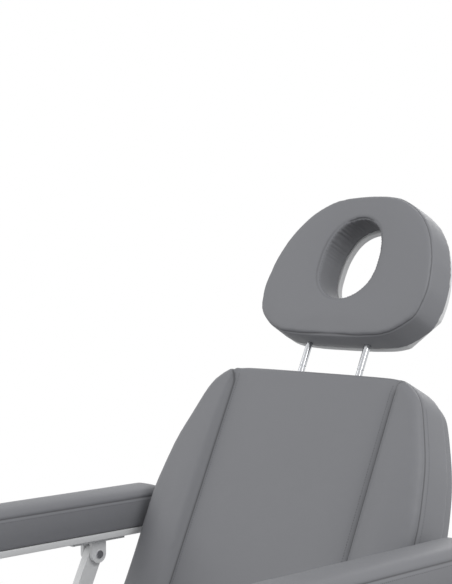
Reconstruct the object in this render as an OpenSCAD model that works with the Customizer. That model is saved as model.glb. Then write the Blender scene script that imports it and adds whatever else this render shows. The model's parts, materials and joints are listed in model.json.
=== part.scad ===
/* [Seat] */
// Height of the seat cushion's top above the floor with the lift down
seat_top_z = 585; // [560:1:640]
// Width of the seat cushion
seat_w = 560; // [520:1:600]
// Length of the seat cushion
seat_len = 470; // [450:1:520]
// Thickness of the seat, back and leg cushions
cushion_t = 75; // [65:1:90]
// Thickness of the boards under the cushions
board_t = 15; // [12:1:18]
// Depth of each hinge axis below the cushion tops
hinge_drop = 60; // [50:1:70]
// Distance from a hinge axis to the edge of the seat cushion
seat_hinge_gap = 25; // [22:1:35]
// Crown in the middle of the large cushions
cushion_crown = 5; // [0:1:10]
// Radius of the rounded cushion edges that face a hinge
nose_r = 36; // [34:1:45]
// Radius of the other cushion edges
edge_r = 14; // [6:1:20]

/* [Backrest] */
// Backward tilt of the backrest in its upright position, in degrees
back_tilt = 25; // [20:1:30]
// Length of the backrest cushion
back_len = 565; // [500:1:600]
// Distance from the hinge axis to the lower edge of the backrest cushion
back_hinge_gap = 25; // [25:1:35]
// Width of the backrest cushion across the armrests
back_w = 608; // [560:1:628]
// How much each side draws in towards the top of the backrest
back_taper = 85; // [60:1:95]
// Length of the drawn in stretch at the top of the backrest
back_taper_len = 270; // [200:1:300]
// Radius of the backrest's upper corners
back_corner_r = 45; // [30:1:50]
// Distance of the inner seams from the middle
seam_x = 184; // [150:1:195]
// Depth of the sewn channels
channel_d = 7; // [0:1:12]
// Rise of the side bolsters over the middle panel
bolster_rise = 12; // [0:1:20]

/* [Headrest] */
// Width of the headrest
head_w = 381; // [320:1:390]
// Height of the headrest
head_h = 279; // [240:1:290]
// Thickness of the headrest cushion
head_t = 62; // [45:1:70]
// Thickness of the headrest board
head_board_t = 12; // [10:1:15]
// Width of the face hole
hole_w = 122; // [100:1:130]
// Height of the face hole
hole_h = 159; // [140:1:165]
// Height of the middle of the face hole over the middle of the headrest
hole_rise = 12; // [5:1:16]
// Gap between the backrest and the headrest
head_gap = 66; // [60:1:80]
// Distance of each post from the middle
post_x = 67; // [60:0.5:80]
// Diameter of the posts
post_d = 12; // [10:1:14]
// Depth of the posts behind the front face of the headrest
post_depth = 40; // [36:1:44]
// Length of the posts below the headrest
post_len = 233; // [220:1:240]

/* [Armrests] */
// Width of an armrest pad
arm_w = 80; // [60:1:90]
// Thickness of an armrest pad
arm_t = 70; // [50:1:80]
// Length of an armrest pad
arm_len = 450; // [350:1:460]
// Height of the armrests over the seat
arm_rise = 269; // [240:1:280]
// Distance of an armrest's inner face from the middle
arm_in_x = 318; // [314:1:330]
// How far an armrest reaches behind the recline hinge
arm_behind = 140; // [100:1:160]
// Thickness of the armrest boards
arm_board_t = 12; // [10:1:15]

/* [Leg rests] */
// Slope of the leg rests below the horizontal at rest, in degrees
leg_tilt = 35; // [30:1:40]
// Length of a leg cushion
leg_len = 450; // [400:1:460]
// Gap between the two leg rests
leg_gap = 10; // [6:1:20]
// Distance from a leg hinge axis to its cushion
leg_hinge_gap = 20; // [19:1:28]

/* [Frame] */
// Width of the seat and back frame tubes
tube_w = 30; // [25:1:30]
// Height of the seat frame tubes
tube_h = 40; // [36:1:40]
// Wall of all tubes
tube_wall = 3; // [2:0.5:4]
// Thickness of the bracket plates
plate_t = 10; // [8:1:12]
// Distance of the seat rails' outer faces from the middle
seat_rail_x = 215; // [200:1:220]

/* [Base] */
// Length of the base
base_len = 860; // [800:1:900]
// Width of the base
base_w = 520; // [480:1:560]
// Width of the base tubes
base_tube_w = 60; // [50:1:70]
// Height of the base tubes
base_tube_h = 40; // [30:1:45]
// Height of the feet
foot_h = 30; // [25:1:40]
// Diameter of the foot pads
foot_d = 50; // [40:1:60]

/* [Lift] */
// Distance between the pivots of the lift arms
lift_len = 450; // [430:1:460]
// Slope of the lift arms when the chair is down, in degrees
lift_rest = 12; // [10:1:15]
// Height of the lower lift pivots
lift_z = 150; // [140:1:160]
// Distance of the links above the arms
link_rise = 90; // [85:1:95]
// Height of the bars of the lift arms
lift_bar_h = 44; // [40:1:50]
// Thickness of the bars of the lift arms
lift_bar_t = 16; // [12:1:16]
// Height of the bars of the links
link_h = 30; // [26:1:32]
// Thickness of the bars of the links
link_t = 12; // [10:1:14]

/* [Hidden] */

// Facets of round parts, and of the plain discs that need few
$fn = 48;

// Overrun of every cut past the face that it opens
over = 1;
// Radial clearance of a pin in its eye
pin_fit = 0.05;
// Gap between a soft piece and what it lies on
soft_gap = 0.3;
// Gap between plates that turn past each other
side_gap = 1;
// Radial clearance of a rod in its tube
rod_fit = 0.3;

// Places of the main axes in the side view, as [y, z]
hinge_z = seat_top_z - hinge_drop;
head_back_reach = (back_hinge_gap + back_len + head_gap + head_h) * sin(back_tilt);
leg_reach = leg_hinge_gap + leg_len;
leg_front_reach = leg_reach * cos(leg_tilt) + hinge_drop * sin(leg_tilt);
seat_reach = seat_len + 2 * seat_hinge_gap;
hinge_y = (seat_reach + leg_front_reach - head_back_reach) / 2;
leg_hinge_y = hinge_y - seat_reach;
seat_front_y = leg_hinge_y + seat_hinge_gap;
seat_rear_y = hinge_y - seat_hinge_gap;
back_hinge = [hinge_y, hinge_z];
leg_hinge = [leg_hinge_y, hinge_z];

// Depths of the layers behind or under each cushion top, measured from the hinge axis
top_t = hinge_drop;
under_t = top_t - cushion_t;
board_low_t = under_t - soft_gap - board_t;
frame_top_z = hinge_z + board_low_t;
frame_low_z = frame_top_z - tube_h;

board_inset = 4;

// Length over which a bolster rises from each end of its cushion
bolster_fade = 60;

// Pins
pin_r = 8;
small_pin_r = 5;
head_rise = 4;
head_len = 3;

// Layout of the seat frame
cross_front_y = seat_front_y + tube_w;
rail_in_x = seat_rail_x - tube_w;
rail_front_y = cross_front_y - tube_w / 2;
rail_rear_y = seat_rear_y - plate_t / 2;

// Side plates that carry the lift pivots
lift_plate_x = seat_rail_x - tube_w / 2 - plate_t;
lift_bar_x = lift_plate_x - side_gap - lift_bar_t;
lift_top_back = 71;
lift_top_y = hinge_y - lift_top_back;
lift_y = lift_top_y - lift_len * cos(lift_rest);
lift_low = [lift_y, lift_z];
link_low = [lift_y, lift_z + link_rise];
lift_high = lift_low + polar(lift_len, lift_rest);
link_high = link_low + polar(lift_len, lift_rest);
hanger_front = 100;
hanger_rear = 60;
hanger_r = 28;

// Lift motor: both pivots lie on one circle round the lower lift pivot
lift_motor_reach = 210;
lift_motor_low_deg = -12;
lift_motor_high_deg = 54;
lift_motor_a = lift_low + polar(lift_motor_reach, lift_motor_low_deg);
lift_motor_b = lift_low + polar(lift_motor_reach, lift_motor_high_deg);
lift_mouth = 198;
lift_rod_len = 198;
torsion_r = 22;
horn_t = 8;
horn_r = 18;

// Motors
motor_tube_r = 22;
motor_bore_r = 10.5;
motor_rod_r = motor_bore_r - rod_fit;
motor_eye_r = 16;
motor_eye_w = 46;
motor_r = 27;
motor_len = 70;
motor_side = 52;
gear_len = 34;
lift_gear_start = 20;
recline_gear_start = 95;
tube_floor = 12;

// Recline motor: both pivots lie on one circle round the recline hinge
recline_pin_w = 200;
recline_pin_gap = 25;
recline_pin_t = board_low_t - tube_w - recline_pin_gap;
recline_reach = norm([recline_pin_w, recline_pin_t]);
recline_low_deg = -100;
recline_high_deg = 90 - back_tilt + atan2(recline_pin_t, recline_pin_w);
recline_a = back_hinge + polar(recline_reach, recline_low_deg);
recline_b = back_hinge + polar(recline_reach, recline_high_deg);
recline_mouth = 238;
recline_rod_len = 238;

// Backrest frame
back_plan = [back_w / 2, back_len, back_taper, back_taper_len, nose_r, back_corner_r];
ear_x = seat_rail_x - side_gap - plate_t;
back_rail_x = ear_x - tube_w;
ear_r = 20;
back_rail_low_w = -5;
back_rail_len = 460;
back_cross_w = 430;
guide_w = 26;
guide_len = 230;
guide_front = 13;
guide_top_drop = 6;
guide_low_w = back_hinge_gap + back_len - guide_top_drop - guide_len;
head_forward = -3;
head_front_t = top_t + head_forward;
post_t = head_front_t - post_depth;

// Headrest
head_low_w = back_hinge_gap + back_len + head_gap;
head_mid_w = head_low_w + head_h / 2;
head_back_t = head_front_t - head_t;
socket_w = 24;
socket_len = 45;
socket_in = 15;
post_in = 60;
notch_d = 1.2;
notch_w = 3;
notch_step = 25;
notch_first = 47;
notch_count = 5;

// Armrests
arm_x = arm_in_x + arm_w / 2;
arm_top_z = seat_top_z + arm_rise;
arm_low_z = arm_top_z - arm_t;
arm_board_low_z = arm_low_z - arm_board_t;
arm_front_y = hinge_y + arm_behind - arm_len;
arm_bar_r = 16;
arm_bar_t = 16;
arm_ear_t = 8;
arm_pin_half = arm_bar_t / 2 + side_gap + arm_ear_t;
arm_bracket_len = 120;
arm_turn_gap = 6;
arm_pivot_drop = arm_bar_r + arm_ear_t + arm_turn_gap;
arm_pivot = [hinge_y - plate_t / 2, arm_board_low_z - arm_pivot_drop];
outrigger_w = 40;
outrigger_z = frame_low_z + tube_h / 2;
arm_foot = [arm_pivot[0] - (arm_pivot[1] - outrigger_z) * tan(back_tilt), outrigger_z];
arm_board_inset = 3;
arm_edge_r = 8;
arm_crown = 2;

// Leg rests
leg_w = (seat_w - leg_gap) / 2;
leg_half_w = leg_w / 2;
leg_x = (leg_gap + leg_w) / 2;
leg_tube_w = 40;
leg_tube_t = board_low_t - soft_gap;
leg_tube_start = 90;
leg_tube_len = 300;
leg_slide_fit = 0.5;
leg_slide_w = leg_tube_w - 2 * (tube_wall + leg_slide_fit);
leg_slide_start = 150;
leg_slide_len = 300;
leg_saddle_w = 100;
leg_saddle_len = 50;
leg_ear_t = 8;
leg_ear_r = 16;
leg_ear_len = 60;
leg_neck = [[4, -23], [-10, -36], [-21, -55], [-42, -67], [-46, leg_tube_t - leg_tube_w]];
leg_seat_ear_r = 15;
leg_pin_half = leg_tube_w / 2 + 2 * leg_ear_t + side_gap;

// Leg springs: both pivots lie on one circle round the leg hinge
spring_pin_w = 190;
spring_pin_gap = 20;
spring_pin_t = leg_tube_t - leg_tube_w - spring_pin_gap;
spring_reach = norm([spring_pin_w, spring_pin_t]);
spring_a_deg = -30;
spring_b_deg = 180 + leg_tilt + atan2(-spring_pin_t, spring_pin_w);
spring_a = leg_hinge + polar(spring_reach, spring_a_deg);
spring_b = leg_hinge + polar(spring_reach, spring_b_deg);
spring_r = 11;
spring_bore_r = 5.3;
spring_rod_r = spring_bore_r - rod_fit;
spring_eye_r = 10;
spring_eye_w = 15;
spring_flat = 18;
spring_mouth = 202;
spring_rod_len = 204;
spring_ear_t = 6;
spring_pin_half = spring_eye_w / 2 + side_gap + spring_ear_t;

// Base
base_rail_x = (base_w - base_tube_w) / 2;
base_in_x = base_w / 2 - base_tube_w;
base_top_z = foot_h + base_tube_h;
base_end_y = base_len / 2;
base_cross_y = [-base_end_y + base_tube_w, lift_low[0], lift_motor_a[0], base_end_y - base_tube_w];
cap_t = 4;
pad_h = 14;
stud_r = 6;
foot_in = 30;
box_w = 200;
box_len = 110;
box_h = 70;
box_r = 12;
inlet_w = 28;
inlet_h = 20;
inlet_rim = 4;
inlet_depth = 18;
inlet_flange = 2;
inlet_low_z = base_top_z + (box_h - inlet_h) / 2;

// Colours
white = "whitesmoke";
steel = "silver";
dark = "dimgray";
leather = "gray";

// Shares of the cushion grids, from an edge to the middle
bolster_share = [0, 0.06, 0.2, 0.5, 0.8, 0.94, 1];
panel_share = [0.96, 0.8, 0.45, 0];
row_share = [0.2, 0.4, 0.6, 0.8];

// Half of the headrest's outline and half of its face hole, from the top down
head_outline_share = [[0, 1], [0.18, 0.99], [0.37, 0.95], [0.56, 0.83], [0.73, 0.65], [0.87, 0.38],
  [0.96, 0.05], [1, -0.32], [0.94, -0.7], [0.71, -0.94], [0.43, -0.99], [0.2, -1], [0, -1]];
head_hole_share = [[0, 1], [0.33, 0.95], [0.61, 0.82], [0.8, 0.64], [0.92, 0.42], [0.98, 0.22],
  [1, 0.02], [1, -0.19], [0.97, -0.41], [0.84, -0.64], [0.62, -0.82], [0.34, -0.95], [0, -1]];

// Point at a radius and an angle in the side view
function polar(r, a) = [r * cos(a), r * sin(a)];

// Puts a side view drawing on the YZ plane and gives it a thickness along X
module side_plate(t, x = 0) translate([x, 0, 0]) rotate([90, 0, 90]) linear_extrude(t) children();

// The same piece at +X and at -X
module both_sides() {
  children();
  mirror([1, 0, 0]) children();
}

// Round bar along X
module x_rod(r, x0, x1, at) translate([x0, at[0], at[1]]) rotate([0, 90, 0]) cylinder(r = r, h = x1 - x0);

// Clevis pin along X with a head at its outer end and a clip ring at its inner one
module x_pin(r, x0, x1, at) {
  x_rod(r, x0, x1, at);
  x_rod(r + head_rise, x1, x1 + head_len, at);
  x_rod(r + head_rise / 2, x0 - head_len, x0, at);
}

// Square tube along Y, open at both ends
module y_tube(w, h, len, wall) translate([0, len / 2, 0]) difference() {
  cube([w, len, h], center = true);
  cube([w - 2 * wall, len + 2 * over, h - 2 * wall], center = true);
}

// Square tube along X between two distances, centred on a point of the side view
module x_tube(half, w, h, wall, at) translate([0, at[0], at[1]]) difference() {
  cube([2 * half, w, h], center = true);
  cube([2 * (half + over), w - 2 * wall, h - 2 * wall], center = true);
}

// Stands a piece on the line from one pivot to another, with +Z along the line
module along(a, b) translate([0, a[0], a[1]])
  rotate([-atan2(b[0] - a[0], b[1] - a[1]), 0, 0]) children();

// Frame of the backrest: X across, Z up along the back, -Y out of its front
module on_back() translate([0, hinge_y, hinge_z]) rotate([-back_tilt, 0, 0]) children();

// Frame of a leg rest: X across from its middle, -Y along the leg, Z out of its top
module on_leg(side) translate([side * leg_x, leg_hinge_y, hinge_z]) rotate([leg_tilt, 0, 0]) children();

// Closed solid through rings of points that all have the same count
module skin(rings, loop = false) {
  n = len(rings[0]);
  m = len(rings);
  last = loop ? m - 1 : m - 2;
  tips = loop ? [] : [bulged(rings[0], rings[1]), bulged(rings[m - 1], rings[m - 2])];
  walls = [for (i = [0 : last]) for (j = [0 : n - 1])
    let (a = i * n + j, b = i * n + (j + 1) % n, k = ((i + 1) % m) * n, c = k + (j + 1) % n, d = k + j)
      each [[a, b, c], [a, c, d]]];
  ends = loop ? [] : [for (j = [0 : n - 1])
    each [[(j + 1) % n, j, m * n], [(m - 1) * n + j, (m - 1) * n + (j + 1) % n, m * n + 1]]];
  polyhedron([each [for (r = rings) each r], each tips], [each walls, each ends]);
}

// Middle of a ring's bounding points
function middle(ring) = [for (k = [0 : 2]) let (v = [for (p = ring) p[k]]) (min(v) + max(v)) / 2];

// Tip of a skin's end: past the middle of its last ring by half the step from the ring before
function bulged(ring, before) = let (at = middle(ring)) at + (at - middle(before)) / 2;

// Depth of a round edge of a radius, at a distance inside it
function edge_drop(r, d) = d >= r ? 0 : r - sqrt(r * r - (r - d) * (r - d));

// Half width of a cushion at a place along it: plan is [half width, length, taper, taper length, r0, r1]
function half_at(plan, w) =
  let (f = max(0, (w - plan[1] + plan[3]) / plan[3]))
    plan[0] - plan[2] * f * f - edge_drop(plan[4], w) - edge_drop(plan[5], plan[1] - w);

// Places along a cushion where its rings lie: close together in the rounded ends
function stations(len, r0, r1) = [
  each [for (a = [0 : 22.5 : 90]) r0 * (1 - cos(a))],
  each [for (s = row_share) r0 + (len - r0 - r1) * s],
  each [for (a = [90 : -22.5 : 0]) len - r1 * (1 - cos(a))]];

// Places across a cushion at one ring, from the left edge to the right one
function across(half, seam) =
  let (wing = half - seam)
    [each [for (s = bolster_share) -half + wing * s],
     each [for (s = panel_share) -seam * s],
     each [for (i = [len(panel_share) - 2 : -1 : 0]) seam * panel_share[i]],
     each [for (i = [len(bolster_share) - 1 : -1 : 0]) half - wing * bolster_share[i]]];

// Height of a cushion over its edge line at a place.
// A form is [crown, bolster rise, channel, edge, nose 0, nose 1]
function height_at(plan, form, half, seam, u, w) =
  let (side = abs(u), wing = max(half - seam, edge_r / 2), wide = min(1, wing / (2 * edge_r)),
       fade = min(1, w / bolster_fade, (plan[1] - w) / bolster_fade),
       bolster = side > seam ? sin(180 * (side - seam) / wing) * form[1] * wide * fade : 0,
       sewn = abs(side - seam) < seam * (1 - panel_share[0]) / 2 ? form[2] * wide : 0,
       crown = form[0] * (1 - pow(u / plan[0], 2)) * sin(180 * w / plan[1]))
    crown + bolster - sewn - max(edge_drop(form[3], half - side),
      edge_drop(form[4], w), edge_drop(form[5], plan[1] - w));

// One ring across a cushion: back edge, drawn in side, top surface, other side, other back edge
function cushion_ring(plan, form, t0, t1, seam_at, w) =
  let (half = half_at(plan, w), seam = min(seam_at, half - edge_r / 4), draw = edge_r / 4,
       base = (t1 - t0 - form[3]) / 2)
    [[-half + draw / 2, w, t0], [-half + draw, w, t0 + base / 2], [-half + draw / 2, w, t0 + base],
     each [for (u = across(half, seam)) [u, w, t1 + height_at(plan, form, half, seam, u, w)]],
     [half - draw / 2, w, t0 + base], [half - draw, w, t0 + base / 2], [half - draw / 2, w, t0]];

// Cushion lying on the XY plane along +Y from the origin
module cushion(plan, form, t0, t1, seam_at) {
  rows = stations(plan[1], plan[4], plan[5]);
  skin([for (w = rows) cushion_ring(plan, form, t0, t1, seam_at, w)]);
}

// Point on a smooth closed curve through points, at a whole number plus a share of the next step
function curve_at(p, i, s) =
  let (n = len(p), a = p[(i + n - 1) % n], b = p[i], c = p[(i + 1) % n], d = p[(i + 2) % n])
    (2 * b + (c - a) * s + (2 * a - 5 * b + 4 * c - d) * s * s
      + (3 * b - a - 3 * c + d) * s * s * s) / 2;

// Smooth closed outline from half of it, given from the top down as shares of two half sizes
function outline(share, half_w, half_h, rise) =
  let (n = len(share), pts = [each [for (p = share) [p[0] * half_w, p[1] * half_h + rise]],
       each [for (i = [n - 2 : -1 : 1]) [-share[i][0] * half_w, share[i][1] * half_h + rise]]])
    [for (i = [0 : len(pts) - 1]) for (s = [0, 0.5]) curve_at(pts, i, s)];

head_outer = outline(head_outline_share, head_w / 2, head_h / 2, 0);
head_inner = outline(head_hole_share, hole_w / 2, hole_h / 2, hole_rise);

// Ring of the headrest at a distance in from its outline, or out from its hole, at a height
function head_ring(from, to, shift, t) = [for (i = [0 : len(from) - 1])
  let (d = to[i] - from[i], p = from[i] + d * shift / norm(d)) [p[0], -t, p[1] + head_mid_w]];

// Linear motor: tube with its eye, gear housing and a motor beside it
module motor_body(a, b, mouth, gear_start) along(a, b) difference() {
  union() {
    cylinder(r = motor_tube_r, h = mouth);
    x_rod(motor_eye_r, -motor_eye_w / 2, motor_eye_w / 2, [0, 0]);
    translate([0, 0, gear_start]) {
      cylinder(r = motor_r, h = gear_len);
      translate([motor_side, 0, 0]) cylinder(r = motor_r, h = gear_len);
      translate([0, -motor_r, 0]) cube([motor_side, 2 * motor_r, gear_len]);
    }
    translate([motor_side, 0, gear_start + gear_len]) cylinder(r = motor_r - tube_wall, h = motor_len);
  }
  translate([0, 0, motor_eye_r + tube_floor / 2]) cylinder(r = motor_bore_r, h = mouth);
  x_rod(pin_r + pin_fit, -motor_eye_w, motor_eye_w, [0, 0]);
}

// Push rod of a linear motor with its eye
module motor_rod(a, b, length) along(b, a) difference() {
  union() {
    cylinder(r = motor_rod_r, h = length);
    x_rod(motor_eye_r, -motor_eye_w / 2, motor_eye_w / 2, [0, 0]);
  }
  x_rod(pin_r + pin_fit, -motor_eye_w, motor_eye_w, [0, 0]);
}

module base_rails() color(white) both_sides()
  translate([base_rail_x, -base_end_y, foot_h + base_tube_h / 2])
    y_tube(base_tube_w, base_tube_h, base_len, tube_wall);

module base_cross_tubes() color(white) for (y = base_cross_y)
  x_tube(base_in_x, base_tube_w, base_tube_h, tube_wall, [y, foot_h + base_tube_h / 2]);

module base_tube_caps() color(dark) both_sides() for (end = [-1, 1])
  translate([base_rail_x, end * (base_end_y + cap_t / 2), foot_h + base_tube_h / 2])
    cube([base_tube_w, cap_t, base_tube_h], center = true);

module at_feet() both_sides() for (end = [-1, 1])
  translate([base_rail_x, end * (base_end_y - foot_in), 0]) children();

module foot_studs() color(steel) at_feet() translate([0, 0, pad_h]) {
  cylinder(r = stud_r, h = foot_h - pad_h);
  cylinder(r = 2 * stud_r, h = stud_r, $fn = 6);
}

module foot_pads() color(dark) at_feet() {
  cylinder(r = foot_d / 2, h = pad_h / 2);
  translate([0, 0, pad_h / 2]) cylinder(r1 = foot_d / 2, r2 = foot_d / 3, h = pad_h / 2);
}

module lift_base_brackets() color(white) both_sides() side_plate(plate_t, lift_plate_x) difference() {
  union() {
    translate([lift_low[0] - base_tube_w / 2, base_top_z]) square([base_tube_w, link_low[1] - base_top_z]);
    translate(link_low) circle(r = base_tube_w / 2);
  }
  translate(lift_low) circle(r = pin_r + pin_fit);
  translate(link_low) circle(r = pin_r + pin_fit);
}

module base_pivot_pins() color(steel) {
  both_sides() for (at = [lift_low, link_low])
    x_pin(pin_r, lift_bar_x - side_gap, lift_plate_x + plate_t, at);
  x_pin(pin_r, -motor_eye_w / 2 - side_gap - plate_t, motor_eye_w / 2 + side_gap + plate_t, lift_motor_a);
}

module lift_motor_clevis() color(white) both_sides()
  side_plate(plate_t, motor_eye_w / 2 + side_gap) difference() {
    union() {
      translate([lift_motor_a[0] - motor_eye_r, base_top_z])
        square([2 * motor_eye_r, lift_motor_a[1] - base_top_z]);
      translate(lift_motor_a) circle(r = motor_eye_r);
    }
    translate(lift_motor_a) circle(r = pin_r + pin_fit);
  }

module control_box() color(dark) difference() {
  translate([0, base_end_y - box_len, base_top_z]) linear_extrude(box_h) union() {
    translate([-box_w / 2 + box_r, 0]) square([box_w - 2 * box_r, box_len]);
    translate([-box_w / 2, box_r]) square([box_w, box_len - 2 * box_r]);
    for (x = [-1, 1]) for (y = [box_r, box_len - box_r])
      translate([x * (box_w / 2 - box_r), y]) circle(r = box_r);
  }
  translate([-inlet_w / 2 - inlet_rim, base_end_y - inlet_depth - inlet_rim, inlet_low_z - inlet_rim])
    cube([inlet_w + 2 * inlet_rim, inlet_depth + inlet_rim + over, inlet_h + 2 * inlet_rim]);
}

module mains_inlet() color("black") difference() {
  union() {
    translate([-inlet_w / 2 - inlet_rim, base_end_y - inlet_depth - inlet_rim, inlet_low_z - inlet_rim])
      cube([inlet_w + 2 * inlet_rim, inlet_depth + inlet_rim, inlet_h + 2 * inlet_rim]);
    translate([-inlet_w / 2 - 2 * inlet_rim, base_end_y, inlet_low_z - 2 * inlet_rim])
      cube([inlet_w + 4 * inlet_rim, inlet_flange, inlet_h + 4 * inlet_rim]);
  }
  translate([-inlet_w / 2, base_end_y - inlet_depth, inlet_low_z])
    cube([inlet_w, inlet_depth + inlet_flange + over, inlet_h]);
}

// Straight bar with round ends and an eye at each end, from one pivot to another
module eye_bar(a, b, h, r) translate(a) rotate(atan2(b[1] - a[1], b[0] - a[0])) difference() {
  union() {
    translate([0, -h / 2]) square([norm(b - a), h]);
    circle(r = h / 2);
    translate([norm(b - a), 0]) circle(r = h / 2);
  }
  circle(r = r);
  translate([norm(b - a), 0]) circle(r = r);
}

module lift_arm_bars() color(white) both_sides()
  side_plate(lift_bar_t, lift_bar_x) eye_bar(lift_low, lift_high, lift_bar_h, pin_r + pin_fit);

module lift_links() color(white) both_sides()
  side_plate(link_t, lift_plate_x - side_gap - link_t) eye_bar(link_low, link_high, link_h, pin_r + pin_fit);

module lift_torsion_tube() color(white) {
  translate([-lift_bar_x, lift_low[0], lift_low[1]]) rotate([0, 90, 0]) difference() {
    cylinder(r = torsion_r, h = 2 * lift_bar_x);
    translate([0, 0, -over]) cylinder(r = torsion_r - 2 * tube_wall, h = 2 * (lift_bar_x + over));
  }
  both_sides() side_plate(horn_t, motor_eye_w / 2 + side_gap) difference() {
    translate(lift_low) rotate(lift_motor_high_deg) union() {
      circle(r = torsion_r + horn_r / 2);
      polygon([[0, -torsion_r - horn_r / 2], [lift_motor_reach, -horn_r], [lift_motor_reach, horn_r],
        [0, torsion_r + horn_r / 2]]);
      translate([lift_motor_reach, 0]) circle(r = horn_r);
    }
    translate(lift_low) circle(r = torsion_r - tube_wall);
    translate(lift_motor_b) circle(r = pin_r + pin_fit);
  }
}

module lift_horn_pin() color(steel)
  x_pin(pin_r, -motor_eye_w / 2 - side_gap - horn_t, motor_eye_w / 2 + side_gap + horn_t, lift_motor_b);

module lift_motor() color(dark) motor_body(lift_motor_a, lift_motor_b, lift_mouth, lift_gear_start);
module lift_motor_rod() color(steel) motor_rod(lift_motor_a, lift_motor_b, lift_rod_len);
module recline_motor() color(dark) motor_body(recline_a, recline_b, recline_mouth, recline_gear_start);
module recline_motor_rod() color(steel) motor_rod(recline_a, recline_b, recline_rod_len);

module seat_rails() color(white) both_sides()
  translate([seat_rail_x - tube_w / 2, rail_front_y, frame_low_z + tube_h / 2])
    y_tube(tube_w, tube_h, rail_rear_y - rail_front_y, tube_wall);

module seat_cross_tubes() color(white) for (y = [cross_front_y, spring_a[0], recline_a[0]])
  x_tube(rail_in_x, tube_w, tube_h, tube_wall, [y, frame_low_z + tube_h / 2]);

module lift_hangers() color(white) both_sides() side_plate(plate_t, lift_plate_x) difference() {
  union() {
    polygon([[lift_high[0] - hanger_front, frame_low_z], [lift_high[0] + hanger_rear, frame_low_z],
      lift_high + [hanger_r, 0], lift_high - [hanger_r, 0]]);
    translate(lift_high) circle(r = hanger_r);
  }
  translate(lift_high) circle(r = pin_r + pin_fit);
  translate(link_high) circle(r = pin_r + pin_fit);
}

module seat_pivot_pins() color(steel) {
  both_sides() {
    for (at = [lift_high, link_high]) x_pin(pin_r, lift_bar_x - side_gap, lift_plate_x + plate_t, at);
    x_pin(pin_r, ear_x, seat_rail_x + plate_t, back_hinge);
    x_pin(small_pin_r, leg_x - leg_pin_half, leg_x + leg_pin_half, leg_hinge);
    x_pin(small_pin_r, leg_x - spring_pin_half, leg_x + spring_pin_half, spring_a);
    x_pin(small_pin_r, arm_x - arm_pin_half, arm_x + arm_pin_half, arm_pivot);
  }
  x_pin(pin_r, -motor_eye_w / 2 - side_gap - plate_t, motor_eye_w / 2 + side_gap + plate_t, recline_a);
}

module recline_motor_bracket() color(white) both_sides()
  side_plate(plate_t, motor_eye_w / 2 + side_gap) difference() {
    union() {
      translate([recline_a[0] - motor_eye_r, recline_a[1]])
        square([2 * motor_eye_r, frame_low_z - recline_a[1]]);
      translate(recline_a) circle(r = motor_eye_r);
    }
    translate(recline_a) circle(r = pin_r + pin_fit);
  }

// Plate on the outer face of a seat rail that rises behind the seat board to the recline hinge
module recline_seat_ears() color(white) both_sides() side_plate(plate_t, seat_rail_x) difference() {
  union() {
    polygon([[hinge_y - hanger_front, frame_low_z], [hinge_y, frame_low_z], [hinge_y + ear_r, frame_top_z],
      [hinge_y + ear_r, hinge_z], [hinge_y - ear_r, hinge_z], [hinge_y - ear_r, frame_top_z],
      [hinge_y - hanger_front, frame_top_z]]);
    translate(back_hinge) circle(r = ear_r);
  }
  translate(back_hinge) circle(r = pin_r + pin_fit);
}

// Rectangle with round corners, centred on X, from the origin along +Y
module round_plate(w, length, r) {
  translate([-w / 2 + r, 0]) square([w - 2 * r, length]);
  translate([-w / 2, r]) square([w, length - 2 * r]);
  for (x = [-1, 1]) for (y = [r, length - r]) translate([x * (w / 2 - r), y]) circle(r = r);
}

module seat_board() color(white) translate([0, seat_front_y + board_inset, frame_top_z])
  linear_extrude(board_t) round_plate(seat_w - 2 * board_inset, seat_len - 2 * board_inset, nose_r);

module seat_cushion() color(leather) translate([0, seat_front_y, hinge_z])
  cushion([seat_w / 2, seat_len, 0, seat_len, nose_r, nose_r],
    [cushion_crown, bolster_rise / 2, channel_d, edge_r, nose_r, nose_r], under_t, top_t, seam_x);

// Seat plates that hold a leg hinge, rising in front of the seat board
module leg_hinge_ears() color(white) both_sides() for (x = [-1, 1])
  side_plate(leg_ear_t, leg_x + x * (leg_tube_w / 2 + leg_ear_t + side_gap + leg_ear_t / 2) - leg_ear_t / 2)
    difference() {
      union() {
        polygon([[leg_hinge_y, hinge_z - leg_seat_ear_r], [leg_hinge_y + leg_hinge_gap, frame_top_z],
          [leg_hinge_y + leg_hinge_gap, frame_low_z], [rail_front_y, frame_low_z],
          [rail_front_y, frame_top_z - side_gap], [seat_front_y + side_gap, frame_top_z - side_gap],
          [seat_front_y - side_gap, hinge_z + under_t - side_gap], [leg_hinge_y + leg_seat_ear_r, hinge_z]]);
        translate(leg_hinge) circle(r = leg_seat_ear_r);
      }
      translate(leg_hinge) circle(r = small_pin_r + pin_fit);
    }

module leg_spring_ears() color(white) both_sides() for (x = [-1, 1])
  side_plate(spring_ear_t, leg_x + x * (spring_eye_w / 2 + side_gap + spring_ear_t / 2) - spring_ear_t / 2)
    difference() {
      union() {
        translate([spring_a[0] - spring_eye_r, spring_a[1]])
          square([2 * spring_eye_r, frame_low_z - spring_a[1]]);
        translate(spring_a) circle(r = spring_eye_r);
      }
      translate(spring_a) circle(r = small_pin_r + pin_fit);
    }

module arm_outriggers() color(white) both_sides()
  translate([seat_rail_x, arm_foot[0], outrigger_z]) rotate([0, 0, -90])
    y_tube(outrigger_w, tube_w, arm_x - arm_bar_t / 2 - seat_rail_x, tube_wall);

module arm_uprights() color(white) both_sides() side_plate(arm_bar_t, arm_x - arm_bar_t / 2)
  eye_bar(arm_foot, arm_pivot, 2 * arm_bar_r, small_pin_r + pin_fit);

module backrest_rails() color(white) on_back() both_sides()
  translate([back_rail_x, -board_low_t, back_rail_low_w]) difference() {
    cube([tube_w, tube_w, back_rail_len]);
    translate([tube_wall, tube_wall, -over])
      cube([tube_w - 2 * tube_wall, tube_w - 2 * tube_wall, back_rail_len + 2 * over]);
  }

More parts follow.
